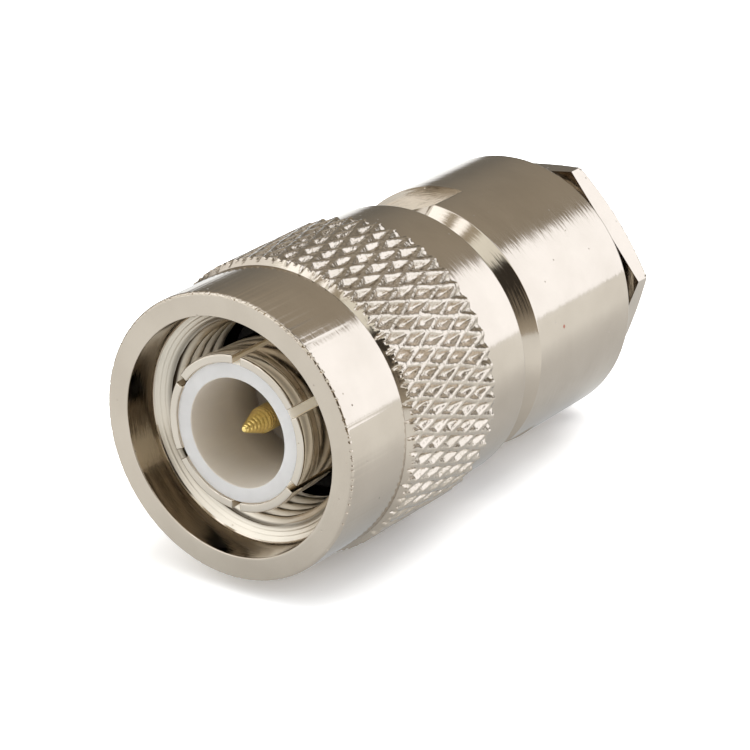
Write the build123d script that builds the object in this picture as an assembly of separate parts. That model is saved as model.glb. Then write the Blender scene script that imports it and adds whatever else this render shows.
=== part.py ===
from build123d import *
import math
import os

# Threaded coaxial plug with a clamp cable entry, lying along X.
# Every station is in millimetres behind the front rim of the coupling nut.
# The finished solids are moved by half the length, so the row origin is the middle of the part.

# Fits and clearances
RUN_CLEAR = 0.06
SNUG_CLEAR = 0.02
LOOSE_CLEAR = 0.10

# Mating thread, 7/16 inch by 28 to the inch, drawn as its minor bore
MATE_MINOR_R = 5.10

# Coupling nut, outside
NUT_LEN = 15.55
BAND_R = 7.50
CREST_R = 7.83
BAND_END = 4.56
CREST_START = 5.40
CREST_END = 12.05
KNURL_END = 12.20
RIM_BREAK = 0.22
EDGE_BREAK = 0.15

# Coupling nut, inside
MOUTH_R = 6.27
MOUTH_DEPTH = 2.05
THREAD_START = 2.60
THREAD_END = 6.30
CHAMBER_START = 6.65
CHAMBER_R = 5.75
CHAMBER_END = 9.30

# Knurl: pointed diamond pits that meet in crossing ridges
PIT_COUNT = 54
PIT_ROWS = 8
FIRST_PIT = 4.33
PIT_PITCH = 1.27
PIT_DEPTH = 0.40
BLANK_STOCK = 0.06
CUTTER_RISE = 0.10

# Ring that holds the nut on the body
RING_FRONT = 12.60
RING_WIDTH = 0.80
RING_IN_R = 4.45
RING_OUT_R = 5.55
RING_GAP = 1.20
RING_SIDE_CLEAR = 0.08
NUT_GROOVE_R = 5.85
HUB_GROOVE_R = 4.30

# Body
HUB_R = 5.00
HUB_FRONT = 8.12
BARREL_FRONT = 16.25
FRONT_CONE = 1.00
BARREL_REAR = 26.10
BARREL_R = 7.25
FLAT_ACROSS = 13.00
FLAT_END = 19.85
FLAT_TURN = 66.6
CONTACT_SEAT_END = 10.20
TUBE_BORE_R = 3.68
BUSH_SEAT = 14.60
STACK_R = 4.90
REAR_THREAD_START = 19.90
REAR_MAJOR_R = 5.55

# Outer contact, a slotted spring sleeve
SLEEVE_TIP = 0.66
SLEEVE_R = 4.08
CONTACT_SEAT_R = SLEEVE_R + SNUG_CLEAR
SLEEVE_TIP_R = 4.15
SLEEVE_TIP_END = 1.50
SLEEVE_IN_R = 3.68
SLOT_COUNT = 6
SLOT_WIDTH = 0.50
SLOT_END = 6.20
SLOT_TURN = 29.2

# White front insulator
INS_TIP = 0.78
INS_FLOOR = 6.20
INS_REAR = 13.80
INS_R = 3.66
INS_HOLE_R = 2.86

# Centre contact
PIN_TIP = 1.32
PIN_TIP_R = 0.17
PIN_TAPER_END = 2.75
PIN_R = 0.685
PIN_SHOULDER = 6.22
PIN_STEM_R = 1.05
PIN_COLLAR_START = 13.90
PIN_COLLAR_END = 14.90
PIN_COLLAR_R = 1.60
PIN_CUP_R = 0.95
PIN_CUP_BORE_R = 0.50
PIN_REAR = 18.30
PIN_CUP_DEPTH = 3.00

# Gasket that seals against the mating part
SEAL_FRONT = 7.10
SEAL_REAR = HUB_FRONT - SNUG_CLEAR
SEAL_IN_R = SLEEVE_R + SNUG_CLEAR
SEAL_OUT_R = 5.02

# Clamp parts in the rear bore
BUSH_REAR = 16.60
BRAID_FRONT = 16.65
BRAID_FLANGE = 0.70
BRAID_REAR = 18.70
BRAID_SLEEVE_R = 3.30
GASKET_FRONT = 17.40
GASKET_REAR = 19.10
GASKET_IN_R = 3.42
WASHER_FRONT = 20.65
WASHER_REAR = 21.20
WASHER_IN_R = 3.00
CABLE_R = 2.65

# Clamp nut
CLAMP_FRONT = 21.25
CLAMP_THREAD_START = 21.50
CLAMP_THREAD_END = 26.30
CLAMP_NECK_R = 4.90
HEX_FRONT = 27.60
HEX_REAR = 29.05
HEX_ACROSS = 12.00
HEX_CORNER_END = 28.60
HEX_FACE_R = 5.90
HEX_TURN = 49.3
CABLE_FLARE = 0.45

OVERALL = HEX_REAR
MIDDLE = OVERALL / 2


def turned(points):
    """Solid of revolution about X from (station, radius) points."""
    outline = make_face(Polyline(*points, close=True))
    return revolve(outline, Axis.X, 360)


def about_axis(solid, degrees):
    """The solid turned about the part's axis."""
    return solid.rotate(Axis.X, degrees)


def slab(front, rear, low, high, width):
    """Box from front to rear along X, between two heights, centred across Y."""
    box = Box(rear - front, width, high - low)
    return Pos((front + rear) / 2, 0, (low + high) / 2) * box


# Coupling nut
def nut_blank():
    """Turned blank of the coupling nut, with its bore, chamber and ring groove."""
    bore_r = HUB_R + RUN_CLEAR
    groove_front = RING_FRONT - RING_SIDE_CLEAR
    groove_rear = RING_FRONT + RING_WIDTH + RING_SIDE_CLEAR
    mouth_cone = THREAD_START - MOUTH_DEPTH
    stock_r = CREST_R + BLANK_STOCK
    cone_slope = (CREST_START - BAND_END) / (CREST_R - BAND_R)
    return turned([
        (0, MOUTH_R + EDGE_BREAK),
        (0, BAND_R - RIM_BREAK),
        (RIM_BREAK, BAND_R),
        (BAND_END, BAND_R),
        (CREST_START + BLANK_STOCK * cone_slope, stock_r),
        (CREST_END, stock_r),
        (KNURL_END, BAND_R),
        (NUT_LEN - EDGE_BREAK, BAND_R),
        (NUT_LEN, BAND_R - EDGE_BREAK),
        (NUT_LEN, bore_r + EDGE_BREAK),
        (NUT_LEN - EDGE_BREAK, bore_r),
        (groove_rear, bore_r),
        (groove_rear, NUT_GROOVE_R),
        (groove_front, NUT_GROOVE_R),
        (groove_front, bore_r),
        (CHAMBER_END, bore_r),
        (CHAMBER_END, CHAMBER_R),
        (CHAMBER_START, CHAMBER_R),
        (THREAD_END, MATE_MINOR_R),
        (THREAD_START, MATE_MINOR_R),
        (MOUTH_DEPTH, MATE_MINOR_R + mouth_cone),
        (MOUTH_DEPTH, MOUTH_R),
        (EDGE_BREAK, MOUTH_R),
    ])


def pit_cutter():
    """Diamond pyramid for one knurl pit, whose faces pass through the corners shared with its neighbours."""
    share = 1 + CUTTER_RISE / PIT_DEPTH
    half_step = math.pi / PIT_COUNT
    side_y = CREST_R * math.cos(half_step)
    side_z = CREST_R * math.sin(half_step)
    apex = Vector(0, CREST_R - PIT_DEPTH, 0)
    corners = [(PIT_PITCH, CREST_R, 0), (0, side_y, side_z), (-PIT_PITCH, CREST_R, 0), (0, side_y, -side_z)]
    top = [apex + (Vector(*corner) - apex) * share for corner in corners]
    faces = [make_face(Polyline(top[0], top[1], top[3], close=True))]
    faces.append(make_face(Polyline(top[1], top[2], top[3], close=True)))
    for i in range(4):
        faces.append(make_face(Polyline(top[i], top[(i + 1) % 4], apex, close=True)))
    return Solid(Shell(faces))


def knurl_pits():
    """All pit cutters, in staggered rows round the nut."""
    one = pit_cutter()
    step = 360 / PIT_COUNT
    cutters = []
    for row in range(PIT_ROWS):
        placed = Pos(FIRST_PIT + row * PIT_PITCH, 0, 0) * one
        start = step / 2 if row % 2 else 0
        for i in range(PIT_COUNT):
            cutters.append(about_axis(placed, start + i * step))
    return cutters


def coupling_nut():
    """Knurled nut that turns on the hub and pulls the mating part in."""
    return nut_blank().cut(*knurl_pits())


# Ring and gasket
def nut_retaining_ring():
    """Split ring in the facing grooves of the nut and the hub."""
    ring = turned([
        (RING_FRONT, RING_IN_R),
        (RING_FRONT, RING_OUT_R),
        (RING_FRONT + RING_WIDTH, RING_OUT_R),
        (RING_FRONT + RING_WIDTH, RING_IN_R),
    ])
    gap = slab(RING_FRONT - 1, RING_FRONT + RING_WIDTH + 1, 0, RING_OUT_R + 1, RING_GAP)
    return ring - gap


def mating_gasket():
    """Rubber ring on the front of the hub."""
    return turned([
        (SEAL_FRONT, SEAL_IN_R),
        (SEAL_FRONT, SEAL_OUT_R),
        (SEAL_REAR, SEAL_OUT_R),
        (SEAL_REAR, SEAL_IN_R),
    ])


# Body
def body_blank():
    """Turned body: hub in front, barrel behind, bored right through."""
    ring_front = RING_FRONT - RING_SIDE_CLEAR
    ring_rear = RING_FRONT + RING_WIDTH + RING_SIDE_CLEAR
    rear_r = REAR_MAJOR_R + RUN_CLEAR
    return turned([
        (HUB_FRONT, CONTACT_SEAT_R),
        (HUB_FRONT, HUB_R),
        (ring_front, HUB_R),
        (ring_front, HUB_GROOVE_R),
        (ring_rear, HUB_GROOVE_R),
        (ring_rear, HUB_R),
        (BARREL_FRONT, HUB_R),
        (BARREL_FRONT, BARREL_R - FRONT_CONE),
        (BARREL_FRONT + FRONT_CONE, BARREL_R),
        (BARREL_REAR - EDGE_BREAK, BARREL_R),
        (BARREL_REAR, BARREL_R - EDGE_BREAK),
        (BARREL_REAR, rear_r),
        (REAR_THREAD_START, rear_r),
        (REAR_THREAD_START, STACK_R),
        (BUSH_SEAT, STACK_R),
        (BUSH_SEAT, TUBE_BORE_R),
        (CONTACT_SEAT_END, TUBE_BORE_R),
        (CONTACT_SEAT_END, CONTACT_SEAT_R),
    ])


def connector_body():
    """Body with two wrench flats milled on the front of its barrel."""
    half = FLAT_ACROSS / 2
    body = body_blank()
    for side in (0, 180):
        cut = slab(BARREL_FRONT - 1, FLAT_END, half, BARREL_R + 1, 2 * BARREL_R)
        body -= about_axis(cut, FLAT_TURN - 90 + side)
    return body


# Outer contact and insulators
def outer_contact():
    """Spring sleeve slotted from its rounded tip."""
    tip_round = 0.14
    sleeve = turned([
        (SLEEVE_TIP, SLEEVE_IN_R + tip_round),
        (SLEEVE_TIP, SLEEVE_TIP_R - tip_round),
        (SLEEVE_TIP + tip_round * 0.4, SLEEVE_TIP_R - tip_round * 0.35),
        (SLEEVE_TIP + tip_round, SLEEVE_TIP_R),
        (SLEEVE_TIP_END, SLEEVE_TIP_R),
        (SLEEVE_TIP_END + 0.5, SLEEVE_R),
        (CONTACT_SEAT_END - SNUG_CLEAR, SLEEVE_R),
        (CONTACT_SEAT_END - SNUG_CLEAR, SLEEVE_IN_R),
        (SLEEVE_TIP + tip_round, SLEEVE_IN_R),
    ])
    slots = []
    for i in range(SLOT_COUNT):
        slot = slab(SLEEVE_TIP - 1, SLOT_END, SLEEVE_IN_R - 0.5, SLEEVE_TIP_R + 0.5, SLOT_WIDTH)
        slots.append(about_axis(slot, SLOT_TURN - 90 + i * 360 / SLOT_COUNT))
    return sleeve.cut(*slots)


def front_insulator():
    """White tube whose floor carries the pin."""
    return turned([
        (INS_TIP, INS_HOLE_R + 0.05),
        (INS_TIP, INS_R - 0.08),
        (INS_TIP + 0.08, INS_R),
        (INS_REAR, INS_R),
        (INS_REAR, PIN_STEM_R + SNUG_CLEAR),
        (INS_FLOOR, PIN_STEM_R + SNUG_CLEAR),
        (INS_FLOOR, INS_HOLE_R),
        (INS_TIP + 0.05, INS_HOLE_R),
    ])


def rear_insulator():
    """White bush behind the pin's collar."""
    collar_r = PIN_COLLAR_R + SNUG_CLEAR
    collar_end = PIN_COLLAR_END + SNUG_CLEAR
    return turned([
        (BUSH_SEAT + SNUG_CLEAR, collar_r),
        (BUSH_SEAT + SNUG_CLEAR, STACK_R - SNUG_CLEAR),
        (BUSH_REAR, STACK_R - SNUG_CLEAR),
        (BUSH_REAR, PIN_CUP_R + SNUG_CLEAR),
        (collar_end, PIN_CUP_R + SNUG_CLEAR),
        (collar_end, collar_r),
    ])


def centre_contact():
    """Pin with a tapered tip, a locating collar and a solder cup."""
    return turned([
        (PIN_TIP, 0),
        (PIN_TIP, PIN_TIP_R * 0.7),
        (PIN_TIP + 0.07, PIN_TIP_R),
        (PIN_TAPER_END, PIN_R),
        (PIN_SHOULDER, PIN_R),
        (PIN_SHOULDER, PIN_STEM_R),
        (PIN_COLLAR_START, PIN_STEM_R),
        (PIN_COLLAR_START, PIN_COLLAR_R),
        (PIN_COLLAR_END, PIN_COLLAR_R),
        (PIN_COLLAR_END, PIN_CUP_R),
        (PIN_REAR, PIN_CUP_R),
        (PIN_REAR, PIN_CUP_BORE_R),
        (PIN_REAR - PIN_CUP_DEPTH, PIN_CUP_BORE_R),
        (PIN_REAR - PIN_CUP_DEPTH - 0.3, 0),
    ])


# Clamp parts
def braid_clamp():
    """Flanged sleeve that takes the cable's braid."""
    return turned([
        (BRAID_FRONT, CABLE_R),
        (BRAID_FRONT, STACK_R - LOOSE_CLEAR),
        (BRAID_FRONT + BRAID_FLANGE, STACK_R - LOOSE_CLEAR),
        (BRAID_FRONT + BRAID_FLANGE, BRAID_SLEEVE_R),
        (BRAID_REAR, BRAID_SLEEVE_R - 0.30),
        (BRAID_REAR, CABLE_R),
    ])


def cable_gasket():
    """Rubber ring that grips the cable's jacket."""
    return turned([
        (GASKET_FRONT, GASKET_IN_R),
        (GASKET_FRONT, STACK_R - LOOSE_CLEAR),
        (GASKET_REAR, STACK_R - LOOSE_CLEAR),
        (GASKET_REAR, GASKET_IN_R),
    ])


def slip_washer():
    """Flat washer between the clamp nut and the gasket."""
    return turned([
        (WASHER_FRONT, WASHER_IN_R),
        (WASHER_FRONT, STACK_R - LOOSE_CLEAR),
        (WASHER_REAR, STACK_R - LOOSE_CLEAR),
        (WASHER_REAR, WASHER_IN_R),
    ])


def hex_head():
    """Thin hexagon whose rear corners are turned off."""
    hexagon = Plane.YZ * RegularPolygon(HEX_ACROSS / 2, 6, major_radius=False)
    prism = extrude(hexagon, HEX_REAR - HEX_FRONT)
    prism = about_axis(Pos(HEX_FRONT, 0, 0) * prism, HEX_TURN)
    corner_r = HEX_ACROSS / math.sqrt(3)
    envelope = turned([
        (HEX_FRONT - 0.1, 0),
        (HEX_FRONT - 0.1, corner_r + 0.01),
        (HEX_CORNER_END, corner_r + 0.01),
        (HEX_REAR, HEX_FACE_R),
        (HEX_REAR, 0),
    ])
    return prism & envelope


def clamp_nut():
    """Hexagon-headed nut with a hollow threaded shank."""
    shank = turned([
        (CLAMP_FRONT, 0),
        (CLAMP_FRONT, REAR_MAJOR_R - 0.25),
        (CLAMP_THREAD_START, REAR_MAJOR_R),
        (CLAMP_THREAD_END, REAR_MAJOR_R),
        (CLAMP_THREAD_END + 0.35, CLAMP_NECK_R),
        (HEX_FRONT + 0.2, CLAMP_NECK_R),
        (HEX_FRONT + 0.2, 0),
    ])
    bore = turned([
        (CLAMP_FRONT - 1, 0),
        (CLAMP_FRONT - 1, CABLE_R),
        (HEX_REAR - CABLE_FLARE, CABLE_R),
        (HEX_REAR, CABLE_R + CABLE_FLARE),
        (HEX_REAR + 1, CABLE_R + CABLE_FLARE),
        (HEX_REAR + 1, 0),
    ])
    return (shank + hex_head()) - bore


def save(name, solid):
    """Writes one piece, moved so that the middle of the part is the origin."""
    export_step(Pos(-MIDDLE, 0, 0) * solid, f"parts/{name}.step")


def main():
    os.makedirs("parts", exist_ok=True)
    save("coupling_nut", coupling_nut())
    save("nut_retaining_ring", nut_retaining_ring())
    save("mating_gasket", mating_gasket())
    save("connector_body", connector_body())
    save("outer_contact", outer_contact())
    save("front_insulator", front_insulator())
    save("rear_insulator", rear_insulator())
    save("centre_contact", centre_contact())
    save("braid_clamp", braid_clamp())
    save("cable_gasket", cable_gasket())
    save("slip_washer", slip_washer())
    save("clamp_nut", clamp_nut())


main()
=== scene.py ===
import math

import bmesh
import bpy
import numpy as np
from mathutils import Matrix, Vector


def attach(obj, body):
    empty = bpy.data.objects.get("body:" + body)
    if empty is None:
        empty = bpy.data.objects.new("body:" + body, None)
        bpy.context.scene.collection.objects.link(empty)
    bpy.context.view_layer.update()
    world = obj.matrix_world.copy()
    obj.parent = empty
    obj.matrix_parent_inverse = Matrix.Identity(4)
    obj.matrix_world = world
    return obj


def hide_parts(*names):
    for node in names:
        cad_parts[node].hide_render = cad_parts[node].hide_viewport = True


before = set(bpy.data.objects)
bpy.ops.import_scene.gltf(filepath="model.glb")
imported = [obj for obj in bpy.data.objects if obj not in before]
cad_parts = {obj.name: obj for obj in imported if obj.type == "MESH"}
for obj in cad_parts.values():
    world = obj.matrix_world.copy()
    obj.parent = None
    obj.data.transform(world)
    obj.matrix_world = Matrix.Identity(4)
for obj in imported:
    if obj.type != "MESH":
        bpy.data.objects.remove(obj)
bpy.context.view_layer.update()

# Lengths are millimetres. Stations are counted from the front rim of the coupling nut towards the cable.
MM = 0.001
TURN = 2 * math.pi
OVERALL = 29.05
MIDDLE = OVERALL / 2
# Thread 7/16-28: its pitch, and the radii of its crest and root inside the coupling nut.
PITCH = 0.9071
THREAD_MINOR, THREAD_MAJOR = 5.10, 5.54
INSULATOR_RADIUS, HOLE_RADIUS = 3.67, 2.86
SLEEVE_BORE = 3.68


def row(station):
    """Place along the axis, in metres, of a station in millimetres."""
    return (station - MIDDLE) * MM


# Geometry helpers
WELD = 2e-7
# A rounded corner takes at most CURVE_SHARE of each edge, and its support points at most SUPPORT_SHARE.
CURVE_SHARE, SUPPORT_SHARE, SUPPORT_REACH = 0.4, 0.48, 1.7


def rounded(points, radius, steps=4, closed=True):
    """Profile whose corners P become quadratic curves (1-t)^2 A + 2t(1-t) P + t^2 B.

    A and B lie on the corner's two edges. A support point beyond each keeps the flat parts flat in shading.
    """
    p = np.array(points, float)
    before, after = np.roll(p, 1, 0) - p, np.roll(p, -1, 0) - p

    def toward(edge, distance, share):
        length = np.linalg.norm(edge, axis=1)[:, None]
        return p + edge * np.minimum(distance / length, share)

    t = np.linspace(0, 1, steps + 1)[None, :, None]
    a, b = toward(before, radius, CURVE_SHARE)[:, None], toward(after, radius, CURVE_SHARE)[:, None]
    curve = (1 - t) ** 2 * a + 2 * t * (1 - t) * p[:, None] + t * t * b
    reach = SUPPORT_REACH * radius
    first = toward(before, reach, SUPPORT_SHARE)[:, None]
    last = toward(after, reach, SUPPORT_SHARE)[:, None]
    rows = np.concatenate([first, curve, last], 1)
    return rows.reshape(-1, 2) if closed else np.vstack([p[:1], rows[1:-1].reshape(-1, 2), p[-1:]])


def swept(stations, radii, angles):
    """Points (x, r cos a, r sin a) in metres.

    Stations have the shape (rows, 1), radii (rows, columns) and angles (columns).
    """
    x, r, a = np.broadcast_arrays(stations, radii, angles)
    return np.stack([x - MIDDLE, r * np.cos(a), r * np.sin(a)], -1) * MM


def turned(profile, angles):
    """Points of a profile of (station, radius) rows turned round the axis."""
    return swept(profile[:, :1], profile[:, 1:], angles)


def ring_angles(columns, extra=()):
    """Even angles round the axis, with extra ones where an edge runs along it."""
    even = np.arange(columns) * TURN / columns
    return np.unique(np.round(np.r_[even, np.mod(extra, TURN)], 9))


def quads(points, close_rows=False, close_columns=True):
    """Corner numbers of the cells of a grid of points, as (cells, 4)."""
    rows, columns = points.shape[:2]
    i = np.arange(rows if close_rows else rows - 1)[:, None]
    j = np.arange(columns if close_columns else columns - 1)[None, :]
    k, m = (i + 1) % rows, (j + 1) % columns
    cells = np.broadcast_arrays(i * columns + j, i * columns + m, k * columns + m, k * columns + j)
    return np.stack(cells, -1).reshape(-1, 4)


def crest_triangles(points):
    """Triangles of a grid, each cell split along its most level diagonal, so that ridges stay whole."""
    cell = quads(points)
    r = np.hypot(points[..., 1], points[..., 2]).reshape(-1)[cell]
    level = np.abs(r[:, 0] - r[:, 2]) <= np.abs(r[:, 1] - r[:, 3])
    first = np.where(level[:, None], cell[:, [0, 1, 2]], cell[:, [0, 1, 3]])
    second = np.where(level[:, None], cell[:, [0, 2, 3]], cell[:, [1, 2, 3]])
    return np.vstack([first, second])


def piece(name, patches, material, body, *nodes, sharp=32):
    """Object made of (points, cells) patches, welded where they meet.

    It rides on the body, stands for the CAD nodes and is creased where faces meet at over `sharp` degrees.
    """
    count = np.cumsum([0] + [p.reshape(-1, 3).shape[0] for p, _ in patches])
    vertices = np.vstack([p.reshape(-1, 3) for p, _ in patches])
    faces = [f for (_, cells), n in zip(patches, count) for f in (np.asarray(cells) + n).tolist()]
    mesh = bpy.data.meshes.new(name)
    mesh.from_pydata(vertices.tolist(), [], faces)
    bm = bmesh.new()
    bm.from_mesh(mesh)
    bmesh.ops.remove_doubles(bm, verts=bm.verts, dist=WELD)
    bmesh.ops.recalc_face_normals(bm, faces=bm.faces)
    bm.to_mesh(mesh)
    bm.free()
    mesh.shade_smooth()
    mesh.set_sharp_from_angle(angle=math.radians(sharp))
    mesh.materials.append(material)
    made = bpy.data.objects.new(name, mesh)
    bpy.context.scene.collection.objects.link(made)
    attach(made, body)
    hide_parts(*nodes)
    return made


def speckle(angles, seed, waves, low, high):
    """Even sum of cosines round the axis, between -1 and 1, for the unevenness of an edge.

    Each has a whole number of waves a turn, drawn between low and high, and a shift of its own.
    """
    random = np.random.default_rng(seed)
    count = random.integers(low, high, waves)[:, None]
    shift = random.uniform(0, TURN, waves)[:, None]
    return np.cos(count * angles[None] + shift).sum(0) / waves


# Shader helpers
def linear(hex_value):
    """sRGB hex to linear red, green, blue and alpha."""
    c = np.array([int(hex_value[i:i + 2], 16) for i in (0, 2, 4)]) / 255
    return (*np.where(c <= 0.04045, c / 12.92, ((c + 0.055) / 1.055) ** 2.4), 1.0)


def add(tree, kind, values=None, links=None, **settings):
    """Adds one shader node with its settings, its constant inputs and the sockets that feed it."""
    made = tree.nodes.new(kind)
    for key, value in settings.items():
        setattr(made, key, value)
    for key, value in (values or {}).items():
        made.inputs[key].default_value = value
    for key, socket in (links or {}).items():
        tree.links.new(socket, made.inputs[key])
    return made


def combined(tree, operation, *values):
    """Result of a Math node on numbers and sockets, given in the order of its inputs."""
    numbers = {i: value for i, value in enumerate(values) if isinstance(value, float)}
    sockets = {i: value for i, value in enumerate(values) if not isinstance(value, float)}
    return add(tree, "ShaderNodeMath", numbers, sockets, operation=operation).outputs["Value"]


def ranged(tree, value, start, end, low=0.0, high=1.0, smooth=False):
    """Low up to start and high from end on, with a straight or a smooth rise between."""
    limits = {"From Min": start, "From Max": end, "To Min": low, "To Max": high}
    kind = "SMOOTHSTEP" if smooth else "LINEAR"
    made = add(tree, "ShaderNodeMapRange", limits, {"Value": value}, interpolation_type=kind)
    return made.outputs["Result"]


def mixed(tree, factor, a, b):
    """Colour a where the factor is 0 and b where it is 1; each is a colour or a socket."""
    colours = {key: value for key, value in (("A", a), ("B", b)) if isinstance(value, tuple)}
    sockets = {key: value for key, value in (("A", a), ("B", b)) if not isinstance(value, tuple)}
    made = add(tree, "ShaderNodeMix", colours, {"Factor": factor, **sockets}, data_type="RGBA")
    return made.outputs["Result"]


def ramp(tree, factor, stops):
    """Colours blended between (position, linear colour) stops."""
    made = add(tree, "ShaderNodeValToRGB", links={"Fac": factor})
    while len(made.color_ramp.elements) < len(stops):
        made.color_ramp.elements.new(0.5)
    for element, (position, colour) in zip(made.color_ramp.elements, stops):
        element.position = position
        element.color = colour
    return made.outputs["Color"]


def noise(tree, place, size, detail, roughness=0.5):
    """Noise between 0 and 1 whose patches are about `size` metres wide."""
    values = {"Scale": 1 / size, "Detail": detail, "Roughness": roughness}
    return add(tree, "ShaderNodeTexNoise", values, {"Vector": place}).outputs["Fac"]


def scatter(tree, place, size):
    """Distance, as a share of `size` metres, to the nearest of points scattered about that far apart."""
    return add(tree, "ShaderNodeTexVoronoi", {"Scale": 1 / size}, {"Vector": place}).outputs["Distance"]


def bumped(tree, height, depth, under=None, strength=1.0):
    """Normal tilted by a height, of which 1 stands for `depth` metres, over another normal if given."""
    links = {"Height": height, **({"Normal": under} if under else {})}
    return add(tree, "ShaderNodeBump", {"Strength": strength, "Distance": depth}, links).outputs["Normal"]


def new_material(name, surface="ShaderNodeBsdfPrincipled"):
    """Empty material with an output and one shader; returns material, tree and shader."""
    made = bpy.data.materials.new(name)
    made.use_nodes = True
    tree = made.node_tree
    tree.nodes.clear()
    shader = add(tree, surface)
    add(tree, "ShaderNodeOutputMaterial", links={"Surface": shader.outputs[0]})
    return made, tree, shader


def turned_coordinates(tree):
    """Object place, then the way along the axis, the angle round it and the radius, for marks of a lathe."""
    place = add(tree, "ShaderNodeTexCoord").outputs["Object"]
    xyz = add(tree, "ShaderNodeSeparateXYZ", links={"Vector": place}).outputs
    angle = combined(tree, "ARCTAN2", xyz["Z"], xyz["Y"])
    across = add(tree, "ShaderNodeCombineXYZ", links={"X": xyz["Y"], "Y": xyz["Z"]}).outputs["Vector"]
    radius = add(tree, "ShaderNodeVectorMath", links={0: across}, operation="LENGTH").outputs["Value"]
    return place, xyz["X"], angle, radius


# Turned and plated metal: what all its surfaces share, in metres
CLOUD_SIZE = 0.003
PORE_SPACING, PORE_SHARE = 0.0026, 0.020
DENT_SPACING, DENT_SHARE, DENT_DEPTH = 0.0008, 0.065, 2.5e-5
SPOT_RADIUS, SPOT_EDGE = 0.00006, 0.00013
# Feed marks go by the way along the axis plus this share of the radius, so they show on faces too.
RADIUS_SHARE = 1.7


def turned_metal(name, plate, dull, rough, tool_mark, mark_depth, grain_size=0.00025, grain_depth=4e-7,
                 spot=None, painted_root_shade=False):
    """Turned and plated metal: rings left by the tool, faint clouds, pores, fine grain and small dents."""
    made, tree, shader = new_material(name)
    place, along, angle, radius = turned_coordinates(tree)
    # Feed marks run round the axis: noise that is fine across them and very long round the axis.
    across = combined(tree, "MULTIPLY_ADD", radius, RADIUS_SHARE, along)
    around = combined(tree, "MULTIPLY", angle, 0.0009)
    lathe = add(tree, "ShaderNodeCombineXYZ", links={"X": across, "Y": around}).outputs["Vector"]
    fine = noise(tree, lathe, tool_mark, 2.0, 0.6)
    coarse = noise(tree, lathe, tool_mark / 0.22, 1.0)
    marks = combined(tree, "ADD", fine, coarse)
    # The plate clouds over in patches and has a few pores of about 0.1 mm.
    cloud = noise(tree, place, CLOUD_SIZE, 4.0)
    pore = combined(tree, "LESS_THAN", scatter(tree, place, PORE_SPACING), PORE_SHARE)
    tone = ramp(tree, cloud, [(0.30, linear(dull)), (0.62, linear(plate))])
    tone = mixed(tree, pore, tone, linear("6f6456"))
    if spot:
        # One small reddish stain at the place given.
        off = add(tree, "ShaderNodeVectorMath", {1: spot}, {0: place}, operation="DISTANCE")
        near = ranged(tree, off.outputs["Value"], SPOT_RADIUS, SPOT_EDGE, 0.8, 0.0)
        tone = mixed(tree, near, tone, linear("a4503c"))
    if painted_root_shade:
        # Painted shade in the roots of the thread, growing from the end of its lead-in on.
        root = ranged(tree, radius, (THREAD_MAJOR - 0.20) * MM, (THREAD_MAJOR - 0.07) * MM, smooth=True)
        past = ranged(tree, along, row(2.375), row(2.725), smooth=True)
        tone = mixed(tree, combined(tree, "MULTIPLY", root, past), tone, linear("3c3328"))
    normal = bumped(tree, marks, mark_depth)
    normal = bumped(tree, noise(tree, place, grain_size, 3.0), grain_depth, normal)
    # Dents about 0.1 mm across, as handling leaves them on the plate.
    dent = ranged(tree, scatter(tree, place, DENT_SPACING), 0.0, DENT_SHARE, smooth=True)
    normal = bumped(tree, dent, DENT_DEPTH, normal)
    shader.inputs["Metallic"].default_value = 1.0
    tree.links.new(tone, shader.inputs["Base Color"])
    tree.links.new(ranged(tree, cloud, 0.3, 0.7, rough * 0.8, rough * 1.3), shader.inputs["Roughness"])
    tree.links.new(normal, shader.inputs["Normal"])
    return made


# Nickel plate over turned brass: warm grey, bright, with fine feed marks that fray the reflections.
nut_nickel = turned_metal("nickel_plate_turned_nut", "c8bdae", "c0b5a6", 0.10, 0.00016, 5.0e-6)
# The same plate over the rolled knurl, whose pressed metal is torn and rippled in steps of about 0.25 mm.
knurl_nickel = turned_metal("nickel_plate_rolled_knurl", "c8bdae", "bdb2a2", 0.12, 0.00016, 2.0e-6,
                            0.00026, 6.5e-5)
# The same plate on the body and the clamp nut, with a reddish stain on the barrel's near side.
body_nickel = turned_metal("nickel_plate_turned_body", "c8bdae", "c0b5a6", 0.10, 0.00020, 6.0e-6,
                           spot=(0.005075, -0.007117, 0.001383))
# Same plate over the cut thread: duller, painted paler for light in the bore, with painted shade in its
# roots.
thread_nickel = turned_metal("nickel_plate_threaded_bore", "e2dacb", "d8cebe", 0.34, 0.00014, 4.0e-6,
                             painted_root_shade=True)
# Nickel plate over drawn spring metal: smooth, so that it mirrors the thread round it.
# Its colour is painted paler than the outer plate, standing in for light inside the nut.
contact_nickel = turned_metal("nickel_plate_spring_contact", "d0c7b9", "c8beb0", 0.10, 0.00012, 1.0e-6)
# Spring bronze, drawn wire: brown-gold and smooth.
ring_bronze = turned_metal("drawn_spring_bronze", "b88a5a", "a2774a", 0.22, 0.0003, 8e-7)
# Gold plate over turned brass: soft yellow and satin.
pin_gold = turned_metal("gold_plate_turned_pin", "fde49a", "f2d478", 0.26, 0.0001, 2.0e-6)


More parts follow.
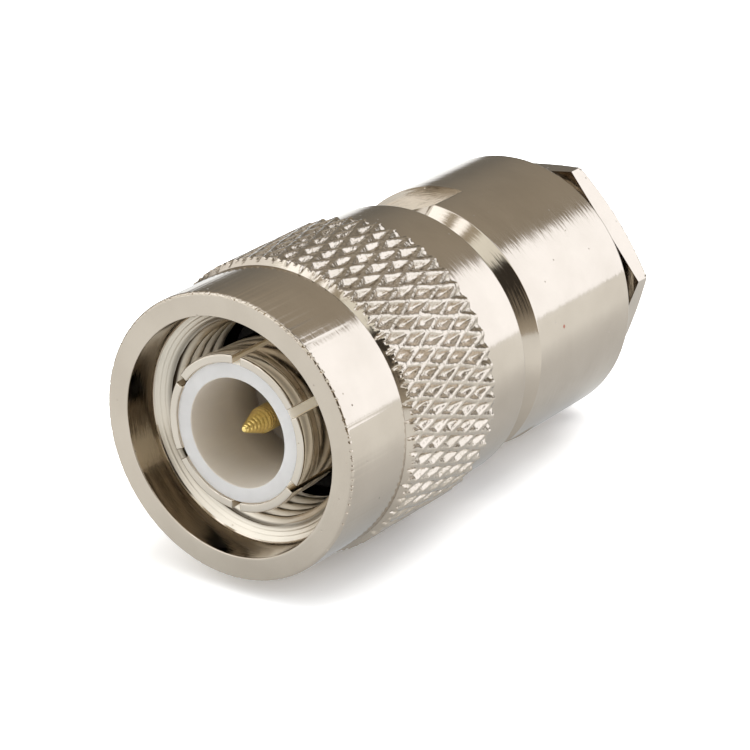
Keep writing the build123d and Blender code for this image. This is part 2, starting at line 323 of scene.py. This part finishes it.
def turned_fluoroplastic():
    """Turned PTFE: waxy white, faint feed marks and specks; painted light: palest outside, warmer in its
    hole.
    """
    made, tree, shader = new_material("turned_white_ptfe")
    place, along, _, radius = turned_coordinates(tree)
    lathe = add(tree, "ShaderNodeCombineXYZ", links={"X": radius, "Y": along}).outputs["Vector"]
    marks = noise(tree, lathe, 0.00018, 2.0)
    cloud = noise(tree, place, 0.0012, 3.0)
    speck = combined(tree, "LESS_THAN", scatter(tree, place, 0.0016), 0.05)
    tone = ramp(tree, cloud, [(0.3, linear("cdccca")), (0.7, linear("d5d4d2"))])
    # Painted light: the outer surface, which shows in the slots, is painted paler.
    outside = combined(tree, "GREATER_THAN", radius, (INSULATOR_RADIUS - 0.008) * MM)
    tone = mixed(tree, outside, tone, linear("fffaf0"))
    # Painted light: the wall of the hole is painted a warmer, paler tone.
    hole = combined(tree, "LESS_THAN", radius, (HOLE_RADIUS + 0.03) * MM)
    tone = mixed(tree, hole, tone, linear("dcd4c8"))
    # Little light reaches the floor of the hole, 5 mm down.
    tone = mixed(tree, ranged(tree, along, row(4.025), row(6.025)), tone, linear("9a9185"))
    tone = mixed(tree, speck, tone, linear("8d8a86"))
    # Painted glow: the strips of white plastic in the narrow slots give off a little light, so that they
    # look lit.
    tree.links.new(combined(tree, "MULTIPLY", outside, 0.28), shader.inputs["Emission Strength"])
    shader.inputs["Emission Color"].default_value = linear("f6e8cc")
    shader.inputs["Roughness"].default_value = 0.48
    shader.inputs["IOR"].default_value = 1.35
    shader.inputs["Subsurface Weight"].default_value = 0.40
    shader.inputs["Subsurface Radius"].default_value = (0.0010, 0.0010, 0.0010)
    shader.inputs["Subsurface Scale"].default_value = 1.0
    tree.links.new(tone, shader.inputs["Base Color"])
    tree.links.new(bumped(tree, marks, 4e-6, strength=0.6), shader.inputs["Normal"])
    return made


def silicone_rubber():
    """Moulded silicone: dark, matt, with a fine moulded grain."""
    made, tree, shader = new_material("moulded_dark_silicone")
    place = add(tree, "ShaderNodeTexCoord").outputs["Object"]
    grain = noise(tree, place, 0.0002, 3.0)
    tone = ramp(tree, grain, [(0.35, linear("2a2826")), (0.65, linear("3a3734"))])
    shader.inputs["Roughness"].default_value = 0.62
    shader.inputs["IOR"].default_value = 1.41
    tree.links.new(tone, shader.inputs["Base Color"])
    tree.links.new(bumped(tree, grain, 6e-6, strength=0.5), shader.inputs["Normal"])
    return made


ptfe = turned_fluoroplastic()
rubber = silicone_rubber()

# Coupling nut
BAND, CREST = 7.50, 7.83
NUT_REAR = 15.55
MOUTH_RADIUS, MOUTH_DEPTH = 6.27, 2.03
CONE_START, CONE_END, CONE_RADIUS, CONE_SLOPE = 2.12, 2.80, 6.18, 1.60
THREAD_END, CHAMBER_START, CHAMBER_RADIUS, CHAMBER_END = 6.30, 6.65, 5.75, 9.30
HUB_BORE, GROOVE_RADIUS, GROOVE_FRONT, GROOVE_REAR = 5.06, 5.85, 12.52, 13.48
# Where the outer and the inner profile of the nut meet.
BORE_JOIN = 14.5
# Knurl: pits round the nut and along it, grid steps for each, and where the knurl rises and ends.
PITS_ROUND, PIT_STEP, FIRST_PIT, PIT_DEPTH, KNURL_FINE = 54, 1.27, 4.33, 0.26, 8
KNURL_FRONT, CREST_FRONT, CREST_REAR, KNURL_REAR = 4.56, 4.90, 12.05, 12.20
# Lengths over which it rises from the band at its front and falls back to it at its rear.
FRONT_RISE, REAR_FALL = 0.34, 0.15
FRONT_ROWS = 4
# Half the width of a ridge and the width of a pit's wall, as shares of the distance between ridges.
RIDGE_HALF, WALL = 0.07, 0.35
# Worn rim: where round the nut it is worst, the depth of its nicks, and the width of their strip.
WORN_MIDDLE, NICK_DEPTH, NICK_STRIP = math.radians(85), 0.36, 0.07


def knurl_radius(x, a):
    """Crest radius less the pit depth d s(t) k.

    t grows with the distance to the nearer of two crossing families of ridge lines, which waver a little.
    s = sin(t pi / 2)^1.5 hollows the pit like a bowl, and k is a little different for each pit.
    """
    random = np.random.default_rng(7)
    wave = 0.03 * np.sin(9 * a + 2.1 * x) + 0.02 * np.sin(23 * a - 3.3 * x)
    u = PITS_ROUND * a / TURN + wave
    v = (x - FIRST_PIT) / (2 * PIT_STEP)
    one, two = np.mod(u + v, 1) - 0.5, np.mod(u - v, 1) - 0.5
    near = np.minimum(0.5 - np.abs(one), 0.5 - np.abs(two))
    t = np.clip((near - RIDGE_HALF) / WALL, 0, 1)
    first, second = np.floor(u + v).astype(int) % PITS_ROUND, np.floor(u - v).astype(int) % PITS_ROUND
    own = random.uniform(0.80, 1.15, (PITS_ROUND, PITS_ROUND))[first, second]
    return CREST - PIT_DEPTH * np.sin(t * math.pi / 2) ** 1.5 * own


def knurl_form(x, a):
    """Knurl between a steep front cone and the rear step, over the band's radius."""
    rise = CREST - BAND
    cone = BAND + (x - KNURL_FRONT) * rise / FRONT_RISE
    step = BAND + (KNURL_REAR - x) * rise / REAR_FALL
    return np.maximum(np.minimum(np.minimum(knurl_radius(x, a), cone), step), BAND + 0.004)


def knurl_stations():
    """Stations of the knurl's rows: its front cone, the lattice of the pits, and its rear step."""
    lattice = FIRST_PIT + np.arange(60) * PIT_STEP / KNURL_FINE
    inner = lattice[(lattice > CREST_FRONT + 0.05) & (lattice < CREST_REAR - 0.02)]
    cone = np.linspace(KNURL_FRONT, CREST_FRONT, FRONT_ROWS)
    return np.unique(np.r_[cone, inner, CREST_REAR, 12.12, KNURL_REAR])[:, None]


def coupling_nut_outside():
    """Mouth, rim and bands, and the knurl between them, each a grid of radii over station and angle.

    Returns the patches of the smooth shell, which has the knurl's front cone, and those of the knurl.
    """
    a = ring_angles(2 * PITS_ROUND * KNURL_FINE)
    front = rounded([(CONE_START, CONE_RADIUS), (MOUTH_DEPTH, MOUTH_RADIUS), (1.0, MOUTH_RADIUS),
                     (0.02, MOUTH_RADIUS), (0.0, 6.38), (0.0, 7.41), (0.09, BAND), (4.2, BAND), (4.5, BAND),
                     (KNURL_FRONT, BAND)], 0.07, 5, False)
    rear = rounded([(12.21, BAND), (12.24, BAND), (12.4, BAND), (15.35, BAND), (NUT_REAR, 7.32),
                    (NUT_REAR, 5.26), (15.38, HUB_BORE), (BORE_JOIN, HUB_BORE)], 0.05, 3, False)
    # Nicks along the front rim's outer edge, a few tenths of a millimetre wide, most under 0.06 mm deep.
    worn = 0.35 + 0.65 * np.cos((a - WORN_MIDDLE) / 2) ** 4
    nick = np.clip(speckle(a, 3, 12, 60, 430) - 0.08, 0, 1) * NICK_DEPTH * worn
    edge = np.exp(-((front[:, :1] - NICK_STRIP) / NICK_STRIP) ** 2) * (front[:, 1:] > 7.1)
    rim = swept(front[:, :1], front[:, 1:] - nick * edge, a)
    band = turned(rear, a)
    x = knurl_stations()
    knurl = swept(x, knurl_form(x, a[None]), a)
    slope, pits = knurl[:FRONT_ROWS], knurl[FRONT_ROWS - 1:]
    bridge = np.stack([knurl[-1], band[0]])
    shell = [(rim, quads(rim)), (band, quads(band)), (slope, crest_triangles(slope))]
    return shell, [(pits, crest_triangles(pits)), (bridge, quads(bridge))]


def thread_radius(x, a, low, high, inside):
    """Sixty-degree thread: a wave of the phase x/pitch - a/turn.

    Its crest and root are narrow flats, and its flanks are a little rounded at both ends.
    """
    wave = np.abs(2 * np.mod(x / PITCH - a / TURN, 1) - 1)
    t = np.clip((wave - 0.14) / 0.74, 0, 1)
    rise = 0.65 * t + 0.35 * t * t * (3 - 2 * t)
    return low + (high - low) * (rise if inside else 1 - rise)


def lead_in(x):
    """Radius of the cone ahead of the thread, with the tool's fine rings, and of the cone behind it."""
    rings = 0.006 * np.sin(TURN * x / 0.12) + 0.003 * np.sin(TURN * x / 0.071)
    ahead = THREAD_MINOR + np.clip((CONE_END - x) * CONE_SLOPE, 0, CONE_RADIUS - THREAD_MINOR)
    ahead = ahead + rings * np.clip((x - CONE_START) / 0.03, 0, 1)
    length = CHAMBER_START - THREAD_END
    behind = THREAD_MINOR + np.clip(x - THREAD_END, 0, length) * (CHAMBER_RADIUS - THREAD_MINOR) / length
    return np.where(x < 4, ahead, behind)


def coupling_nut_inside():
    """Bore, ring groove, chamber and thread, which is cut back to the cones at its two ends."""
    a = ring_angles(288)
    bore = rounded([(BORE_JOIN, HUB_BORE), (GROOVE_REAR, HUB_BORE), (GROOVE_REAR, GROOVE_RADIUS),
                    (GROOVE_FRONT, GROOVE_RADIUS), (GROOVE_FRONT, HUB_BORE), (CHAMBER_END, HUB_BORE),
                    (CHAMBER_END, CHAMBER_RADIUS), (6.9, CHAMBER_RADIUS)], 0.04, 2, False)
    # Rows are 0.04 mm apart along the thread and three times finer on the cone ahead of it.
    x = np.r_[np.linspace(6.85, 2.86, 96), np.linspace(2.84, CONE_START, 52)][:, None]
    ridges = thread_radius(x, a[None], THREAD_MINOR, THREAD_MAJOR, True)
    thread = swept(x, np.maximum(ridges, lead_in(x)), a)
    parts = [turned(bore, a), thread]
    parts.append(np.stack([parts[0][-1], thread[0]]))
    return [(p, quads(p)) for p in parts]


nut_shell, nut_knurl = coupling_nut_outside()
piece("nut_turned_shell", nut_shell, nut_nickel, "coupling_nut", "coupling_nut", sharp=24)
piece("nut_diamond_knurl", nut_knurl, knurl_nickel, "coupling_nut", "coupling_nut", sharp=60)
piece("nut_threaded_bore", coupling_nut_inside(), thread_nickel, "coupling_nut", "coupling_nut")

# Body
HUB, HUB_FRONT, HUB_GROOVE = 5.0, 8.12, 4.30
BARREL, BARREL_FRONT, BARREL_REAR = 7.25, 16.25, 26.10
REAR_BORE, REAR_THREAD, REAR_THREAD_START, BUSH_SEAT = 4.9, 5.61, 19.9, 14.6
SEAT, SEAT_END = 4.10, 10.2
FLAT, FLAT_END = 6.5, 19.85
FLAT_TURN = math.radians(66.6)
FLAT_HALF = math.acos(FLAT / BARREL)


def connector_body():
    """Profile turned round the axis, cut to FLAT / cos(angle from a flat's middle) at two wrench flats."""
    edges = [FLAT_TURN + side + sign * FLAT_HALF for side in (0, math.pi) for sign in (-1, 1)]
    a = ring_angles(288, edges)
    hub = [(HUB_FRONT, SEAT), (HUB_FRONT, HUB), (GROOVE_FRONT, HUB), (GROOVE_FRONT, HUB_GROOVE),
           (GROOVE_REAR, HUB_GROOVE), (GROOVE_REAR, HUB), (BARREL_FRONT, HUB), (BARREL_FRONT, BARREL - 1.0)]
    barrel = [(BARREL_FRONT + 1.0, BARREL), (19.84, BARREL), (19.86, BARREL), (BARREL_REAR - 0.12, BARREL),
              (BARREL_REAR, BARREL - 0.12), (BARREL_REAR, 5.74), (25.98, REAR_THREAD)]
    inside = [(REAR_THREAD_START, REAR_THREAD), (REAR_THREAD_START, REAR_BORE), (BUSH_SEAT, REAR_BORE),
              (BUSH_SEAT, SLEEVE_BORE), (SEAT_END, SLEEVE_BORE), (SEAT_END, SEAT)]
    p = rounded(hub + barrel + inside, 0.04, 3)
    x, r = p[:, :1], p[:, 1:]
    off = np.mod(a - FLAT_TURN + math.pi / 2, math.pi) - math.pi / 2
    flat = np.where(np.abs(off) < FLAT_HALF + 1e-6, FLAT / np.cos(off), 2 * BARREL)[None]
    outside = (x < FLAT_END) & (r > BARREL - 1.25)
    grid = swept(x, np.where(outside, np.minimum(r, flat), r), a)
    return [(grid, quads(grid, True))]


piece("body_turned_barrel", connector_body(), body_nickel, "connector", "connector_body", sharp=30)

# Outer contact: six spring fingers on a ring
FINGERS, SLOT_WIDTH, FIRST_SLOT = 6, 0.50, math.radians(29.26)
SLEEVE_TIP, SLEEVE_REAR, SLOT_END = 0.66, 10.18, 6.2
SLEEVE_RADIUS, TIP_RADIUS = 4.08, 4.15


def contact_fingers():
    """Each finger is a closed profile carried round a sixth of a circle, drawn in a little at its sides."""
    loop = rounded([(SLEEVE_TIP, 3.74), (SLEEVE_TIP, 4.10), (0.78, TIP_RADIUS), (1.5, TIP_RADIUS),
                    (2.0, SLEEVE_RADIUS), (SLOT_END, SLEEVE_RADIUS), (SLOT_END, SLEEVE_BORE),
                    (0.70, SLEEVE_BORE)], 0.11, 5)
    half_slot = SLOT_WIDTH / 2 / 4.0
    # The outermost columns of a finger, and how far its profile is drawn in there.
    side, drawn = np.array([0.0, 0.006, 0.014]), [0.05, 0.015]
    patches = []
    for i in range(FINGERS):
        start = FIRST_SLOT + math.radians(60 * i) + half_slot
        end = FIRST_SLOT + math.radians(60 * (i + 1)) - half_slot
        a = np.r_[start + side, np.linspace(start + 0.03, end - 0.03, 40), end - side[::-1]]
        inset = np.zeros(len(a))
        inset[[0, 1, -2, -1]] = drawn + drawn[::-1]
        x = np.clip(loop[:, :1], SLEEVE_TIP + inset, SLOT_END)
        r = np.clip(loop[:, 1:], SLEEVE_BORE + inset, TIP_RADIUS - inset)
        grid = swept(x, r, a)
        patches.append((grid, quads(grid, True, False)))
        patches.append((grid[:, 0], [list(range(len(loop)))]))
        patches.append((grid[:, -1], [list(range(len(loop)))]))
    ring = rounded([(SLOT_END, SLEEVE_BORE), (SLOT_END, SLEEVE_RADIUS), (SLEEVE_REAR, SLEEVE_RADIUS),
                    (SLEEVE_REAR, SLEEVE_BORE)], 0.03, 2)
    grid = turned(ring, ring_angles(192))
    return patches + [(grid, quads(grid, True))]


piece("contact_spring_fingers", contact_fingers(), contact_nickel, "connector", "outer_contact")

# Insulator and pin
INSULATOR_TIP, INSULATOR_REAR, HOLE_FLOOR = 0.78, 13.8, 6.2
PIN_TIP, TAPER_START, TAPER_END, TAPER_FADE = 1.32, 1.40, 2.75, 3.60
PIN_RADIUS, STEM_RADIUS, COLLAR_RADIUS, CUP_RADIUS = 0.685, 1.05, 1.6, 0.95
RING_HEIGHT, RING_STEP = 0.03, 0.2


def insulator_tube():
    """Turned tube with a floor; the edge of its hole is slightly torn, as the tool leaves it."""
    a = ring_angles(288)
    p = rounded([(INSULATOR_TIP, 2.90), (INSULATOR_TIP, 3.655), (0.80, INSULATOR_RADIUS),
                 (6.2, INSULATOR_RADIUS), (6.3, 3.66), (INSULATOR_REAR, 3.66), (INSULATOR_REAR, 1.07),
                 (HOLE_FLOOR, 1.07), (HOLE_FLOOR, HOLE_RADIUS), (0.82, HOLE_RADIUS)], 0.04, 3)
    torn = np.clip(speckle(a, 11, 14, 40, 200), 0, 1) * 0.05
    edge = np.exp(-((p[:, :1] - 0.80) / 0.07) ** 2) * (p[:, 1:] < 3.0)
    grid = swept(p[:, :1], p[:, 1:] + torn * edge, a)
    return [(grid, quads(grid, True))]


def gold_pin():
    """Revolved pin whose taper carries rounded rings h |sin(pi x / step)| that fade out on the shank."""
    x = np.r_[PIN_TIP, 1.322, 1.34, 1.37, np.linspace(TAPER_START, TAPER_FADE, 177)]
    base = np.interp(x, [PIN_TIP, 1.322, 1.34, 1.37, TAPER_START, TAPER_END, TAPER_FADE],
                     [0, 0.09, 0.13, 0.155, 0.16, 0.650, PIN_RADIUS])
    fade = np.clip((x - TAPER_START) / 0.05, 0, 1) * np.clip((TAPER_FADE - x) / 0.9, 0, 1)
    ring = RING_HEIGHT * np.abs(np.sin(math.pi * x / RING_STEP)) * fade
    tail = rounded([(TAPER_FADE, PIN_RADIUS), (6.22, PIN_RADIUS), (6.22, STEM_RADIUS), (13.9, STEM_RADIUS),
                    (13.9, COLLAR_RADIUS), (14.9, COLLAR_RADIUS), (14.9, CUP_RADIUS), (18.3, CUP_RADIUS),
                    (18.3, 0.5), (15.3, 0.5), (15.0, 0.0)], 0.02, 2, False)
    profile = np.vstack([np.c_[x, base + ring][:-1], tail])
    grid = turned(profile, ring_angles(96))
    return [(grid, quads(grid))]


piece("insulator_white_tube", insulator_tube(), ptfe, "connector", "front_insulator")
piece("pin_gold_contact", gold_pin(), pin_gold, "connector", "centre_contact", sharp=50)

# Clamp nut
HEX_TURN = math.radians(49.3)
HEX_HALF, HEX_FRONT, FACE_RADIUS = 6.0, 27.6, 5.90
HEX_CORNER = 6.928
NECK, CABLE_BORE, SHANK_FRONT = 4.9, 2.65, 21.25
SHANK_MINOR, SHANK_MAJOR = 5.08, 5.55
SHANK_THREAD_START, SHANK_THREAD_END = 21.5, 26.3
# The rear cone's fall in radius over its length, up to the hexagon's corners.
CONE_FALL, CONE_LENGTH = 1.038, 0.54


def clamp_nut():
    """Hexagon HEX_HALF / cos(angle from a facet's middle) with a rear cone, a neck and a threaded shank."""
    corners = HEX_TURN + np.arange(6) * TURN / 6
    near = np.r_[corners - 0.02, corners - 0.008, corners, corners + 0.008, corners + 0.02]
    a = ring_angles(288, near)
    off = np.mod(a - HEX_TURN, TURN / 6) - TURN / 12
    facet = np.minimum(HEX_HALF / np.cos(off), HEX_CORNER)[None]
    front = rounded([(27.0, NECK), (HEX_FRONT, NECK), (HEX_FRONT, 7.2)], 0.03, 2, False)[:-1]
    side = np.r_[27.62, 27.66, np.linspace(27.7, 28.5, 5), np.linspace(28.55, 29.03, 14)]
    cone = FACE_RADIUS + (OVERALL - side) * CONE_FALL / CONE_LENGTH
    rear = rounded([(29.045, 5.86), (OVERALL, 5.82), (OVERALL, 3.10), (28.6, CABLE_BORE),
                    (SHANK_FRONT, CABLE_BORE), (SHANK_FRONT, 5.30), (SHANK_THREAD_START, SHANK_MAJOR)],
                   0.03, 2, False)
    x = np.linspace(SHANK_THREAD_START, SHANK_THREAD_END, 86)[:, None]
    start = NECK + np.clip(x - 21.1, 0, 0.65)
    shank = np.minimum(thread_radius(x, a[None], SHANK_MINOR, SHANK_MAJOR, False), start)
    neck = np.array([(26.45, NECK), (26.6, NECK)])
    whole = np.concatenate([swept(front[:, :1], np.minimum(front[:, 1:], facet), a),
                            swept(side[:, None], np.minimum(facet, cone[:, None]), a),
                            swept(rear[:, :1], np.minimum(rear[:, 1:], facet), a),
                            swept(x, shank, a),
                            turned(neck, a)])
    return [(whole, quads(whole, True))]


piece("clamp_hexagon_nut", clamp_nut(), body_nickel, "clamp_nut", "clamp_nut", sharp=28)

# Inner pieces keep their CAD form
for node, material in (("nut_retaining_ring", ring_bronze), ("mating_gasket", rubber),
                       ("rear_insulator", ptfe), ("braid_clamp", contact_nickel),
                       ("cable_gasket", rubber), ("slip_washer", contact_nickel)):
    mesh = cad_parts[node].data
    mesh.materials.clear()
    mesh.materials.append(material)

# Floor, under the knurl and the rear edge of the barrel, on which the part leans back a little
SLOPE = math.atan(0.58 / 14.05)
FLOOR_HALF = 0.42


def glow_in_mirrors(tree, x, y):
    """Strength of a glow painted on the paper for mirrors, as light and shadow, over the place (x, y) in
    metres.
    """
    # Painted shadow: dimmer close to the part, on a strip along it, and rising to 0.60 away from it.
    aside = combined(tree, "ABSOLUTE", combined(tree, "ADD", y, 0.011))
    past_end = ranged(tree, combined(tree, "ABSOLUTE", x), 0.018, 0.045, smooth=True)
    past_side = ranged(tree, aside, 0.001, 0.017, smooth=True)
    strength = ranged(tree, combined(tree, "MAXIMUM", past_end, past_side), 0.0, 1.0, 0.27, 0.60)
    # Painted shade: behind the part it is dimmer along its whole length, a little brighter past the cable
    # end.
    behind = ranged(tree, y, 0.012, 0.024, 0.0, -0.28, smooth=True)
    mating_end = ranged(tree, x, -0.028, -0.016, smooth=True)
    cable_end = ranged(tree, x, 0.020, 0.046, 1.0, -0.6, smooth=True)
    behind = combined(tree, "MULTIPLY", behind, combined(tree, "MULTIPLY", cable_end, mating_end))
    strength = combined(tree, "ADD", strength, behind)
    # It fades out further back, but far back past the mating end it is as bright as the wall over it.
    strength = combined(tree, "MULTIPLY", strength, ranged(tree, y, 0.035, 0.16, 1.0, 0.0))
    far = ranged(tree, y, 0.035, 0.060, smooth=True)
    corner = ranged(tree, x, -0.050, -0.075, 0.0, 1.35, smooth=True)
    return combined(tree, "MAXIMUM", strength, combined(tree, "MULTIPLY", corner, far))


def floor_paper():
    """Pale paper: the camera sees it near white with the part's shadow; mirrors see a painted uneven glow.
    """
    made, tree, to_camera = new_material("pale_paper_floor", "ShaderNodeMixShader")
    place = add(tree, "ShaderNodeTexCoord").outputs["Object"]
    xyz = add(tree, "ShaderNodeSeparateXYZ", links={"Vector": place}).outputs
    grain = add(tree, "ShaderNodeTexNoise", {"Scale": 900.0, "Detail": 2.0}, {"Vector": place})
    tone = ramp(tree, grain.outputs["Fac"], [(0.4, linear("f1f1f2")), (0.6, linear("f4f4f5"))])
    plain = add(tree, "ShaderNodeBsdfDiffuse", links={"Color": tone}).outputs["BSDF"]
    dim = add(tree, "ShaderNodeBsdfDiffuse", {"Color": (0.36, 0.36, 0.36, 1.0)}).outputs["BSDF"]
    glow = add(tree, "ShaderNodeEmission", {"Color": linear("f4f9fc")},
               {"Strength": glow_in_mirrors(tree, xyz["X"], xyz["Y"])}).outputs["Emission"]
    mirrored = add(tree, "ShaderNodeAddShader", links={0: dim, 1: glow}).outputs["Shader"]
    # Over 1, so that the open floor is white in the picture and only the shadow shows.
    white = add(tree, "ShaderNodeBsdfDiffuse", {"Color": (1.46, 1.46, 1.46, 1.0)}).outputs["BSDF"]
    path = add(tree, "ShaderNodeLightPath").outputs
    others = add(tree, "ShaderNodeMixShader", links={0: path["Is Glossy Ray"], 1: plain, 2: mirrored})
    for key, socket in ((0, path["Is Camera Ray"]), (1, others.outputs["Shader"]), (2, white)):
        tree.links.new(socket, to_camera.inputs[key])
    return made


mesh = bpy.data.meshes.new("floor")
# The barrel's rear edge touches the paper.
height = (-BARREL - (BARREL_REAR - MIDDLE) * math.tan(SLOPE)) * MM
corners = np.array([(-1, -1), (1, -1), (1, 1), (-1, 1)]) * FLOOR_HALF
ground = np.c_[corners, height + corners[:, 0] * math.tan(SLOPE)]
mesh.from_pydata(ground.tolist(), [], [(0, 1, 2, 3)])
mesh.materials.append(floor_paper())
floor = bpy.data.objects.new("floor", mesh)
bpy.context.scene.collection.objects.link(floor)

# Studio light, as linear levels of the walls, cards and ceiling that the metal mirrors
WHITE, BRIGHT = (1.9, 1.95, 2.05), (1.62, 1.66, 1.70)
SIDE_WALL, PALE = (1.25, 1.26, 1.28), (1.2, 1.22, 1.17)
BROWN, MID, DARK = (0.5, 0.44, 0.34), (0.30, 0.26, 0.21), (0.055, 0.048, 0.04)
CARD, HAZE = (1.72, 1.80, 1.98, 1.0), (0.55, 0.50, 0.42, 1.0)
CEILING_LOW, CEILING_HIGH = (0.22, 0.205, 0.18, 1.0), (0.45, 0.405, 0.34, 1.0)
OVERHEAD_BACK, OVERHEAD_FRONT = (0.80, 0.78, 0.75, 1.0), (0.24, 0.215, 0.18, 1.0)


def studio_world():
    """Light by direction: half spaces with soft edges, and two ramps round the azimuth at the mating end."""
    world = bpy.data.worlds.new("studio")
    bpy.context.scene.world = world
    world.use_nodes = True
    tree = world.node_tree
    tree.nodes.clear()
    way = add(tree, "ShaderNodeTexCoord").outputs["Generated"]
    xyz = add(tree, "ShaderNodeSeparateXYZ", links={"Vector": way}).outputs
    azimuth = ranged(tree, combined(tree, "ARCTAN2", xyz["Y"], xyz["X"]), -math.pi, math.pi)

    def past(normal, offset, width):
        """1 where the direction d lies past the plane normal . d = offset and 0 before it, with a blend."""
        dot = add(tree, "ShaderNodeVectorMath", {1: normal}, {0: way}, operation="DOT_PRODUCT")
        return ranged(tree, dot.outputs["Value"], offset - width, offset + width)

    def around(stops):
        """Levels round the azimuth, from (degrees, level) stops."""
        return ramp(tree, azimuth, [((degrees + 180) / 360, (*level, 1.0)) for degrees, level in stops])

    x_back, y_front, z_up = (-1.0, 0.0, 0.0), (0.0, -1.0, 0.0), (0.0, 0.0, 1.0)
    # The mating side: one ramp for what is high and one for what is low, over a hazy horizon.
    high = around([(-179, BROWN), (-171, BROWN), (-168, PALE), (-112, PALE), (-100, SIDE_WALL),
                   (104, SIDE_WALL), (116, PALE), (119, WHITE), (145, WHITE), (148, BROWN), (159, BROWN),
                   (162, WHITE), (174, WHITE), (178, BROWN)])
    low = around([(-178, SIDE_WALL), (-166, SIDE_WALL), (-160, MID), (-154, DARK), (-130.5, DARK),
                  (-127, MID), (-106, MID), (-98, SIDE_WALL), (108, SIDE_WALL), (122, BRIGHT),
                  (164, BRIGHT), (178, SIDE_WALL)])
    low = mixed(tree, past(z_up, 0.10, 0.10), HAZE, low)
    mating = mixed(tree, past(z_up, 0.68, 0.02), low, high)
    # The cable side: a dim ceiling, a white card on the camera's side, and the room overhead.
    ceiling = mixed(tree, past(z_up, 0.40, 0.25), CEILING_LOW, CEILING_HIGH)
    cable = mixed(tree, past((0.0, -1.0, 0.5), 0.5255, 0.010), ceiling, CARD)
    overhead = mixed(tree, past(y_front, 0.02, 0.12), OVERHEAD_BACK, OVERHEAD_FRONT)
    cable = mixed(tree, past(z_up, 0.76, 0.06), cable, overhead)
    room = mixed(tree, past(x_back, -0.08, 0.08), cable, mating)
    # The camera itself sees plain white.
    is_camera = add(tree, "ShaderNodeLightPath").outputs["Is Camera Ray"]
    seen = mixed(tree, is_camera, room, (1.0, 1.0, 1.0, 1.0))
    shade = add(tree, "ShaderNodeBackground", {"Strength": 1.0}, {"Color": seen}).outputs["Background"]
    add(tree, "ShaderNodeOutputWorld", links={"Surface": shade})


studio_world()

light = bpy.data.lights.new("overhead_softbox", "AREA")
light.shape = "DISK"
light.size = 0.35
light.energy = 1.3
lamp = bpy.data.objects.new("overhead_softbox", light)
lamp.location = (0.20, -0.03, 0.34)
lamp.rotation_euler = Vector(lamp.location).to_track_quat("Z", "Y").to_euler()
lamp.visible_glossy = False
bpy.context.scene.collection.objects.link(lamp)

# Camera, fitted to the photo: its place in metres, and its own axes in the part's frame
CAMERA_PLACE = (-0.1453020, -0.0977042, 0.0733445)
CAMERA_RIGHT = Vector((0.5709877, -0.8206202, 0.0235710))
CAMERA_UP = Vector((0.3105423, 0.2424755, 0.9191132))
CAMERA_AHEAD = Vector((0.7599582, 0.5174825, -0.3932878))

camera = bpy.data.cameras.new("camera")
camera.lens = 175.02
camera.sensor_width = 36.0
camera.clip_start = 0.01
camera.clip_end = 10.0
view = bpy.data.objects.new("camera", camera)
axes = Matrix((CAMERA_RIGHT, CAMERA_UP, -CAMERA_AHEAD)).transposed().to_4x4()
view.matrix_world = Matrix.Translation(CAMERA_PLACE) @ axes
bpy.context.scene.collection.objects.link(view)
bpy.context.scene.camera = view

bpy.context.scene.view_settings.view_transform = "Standard"
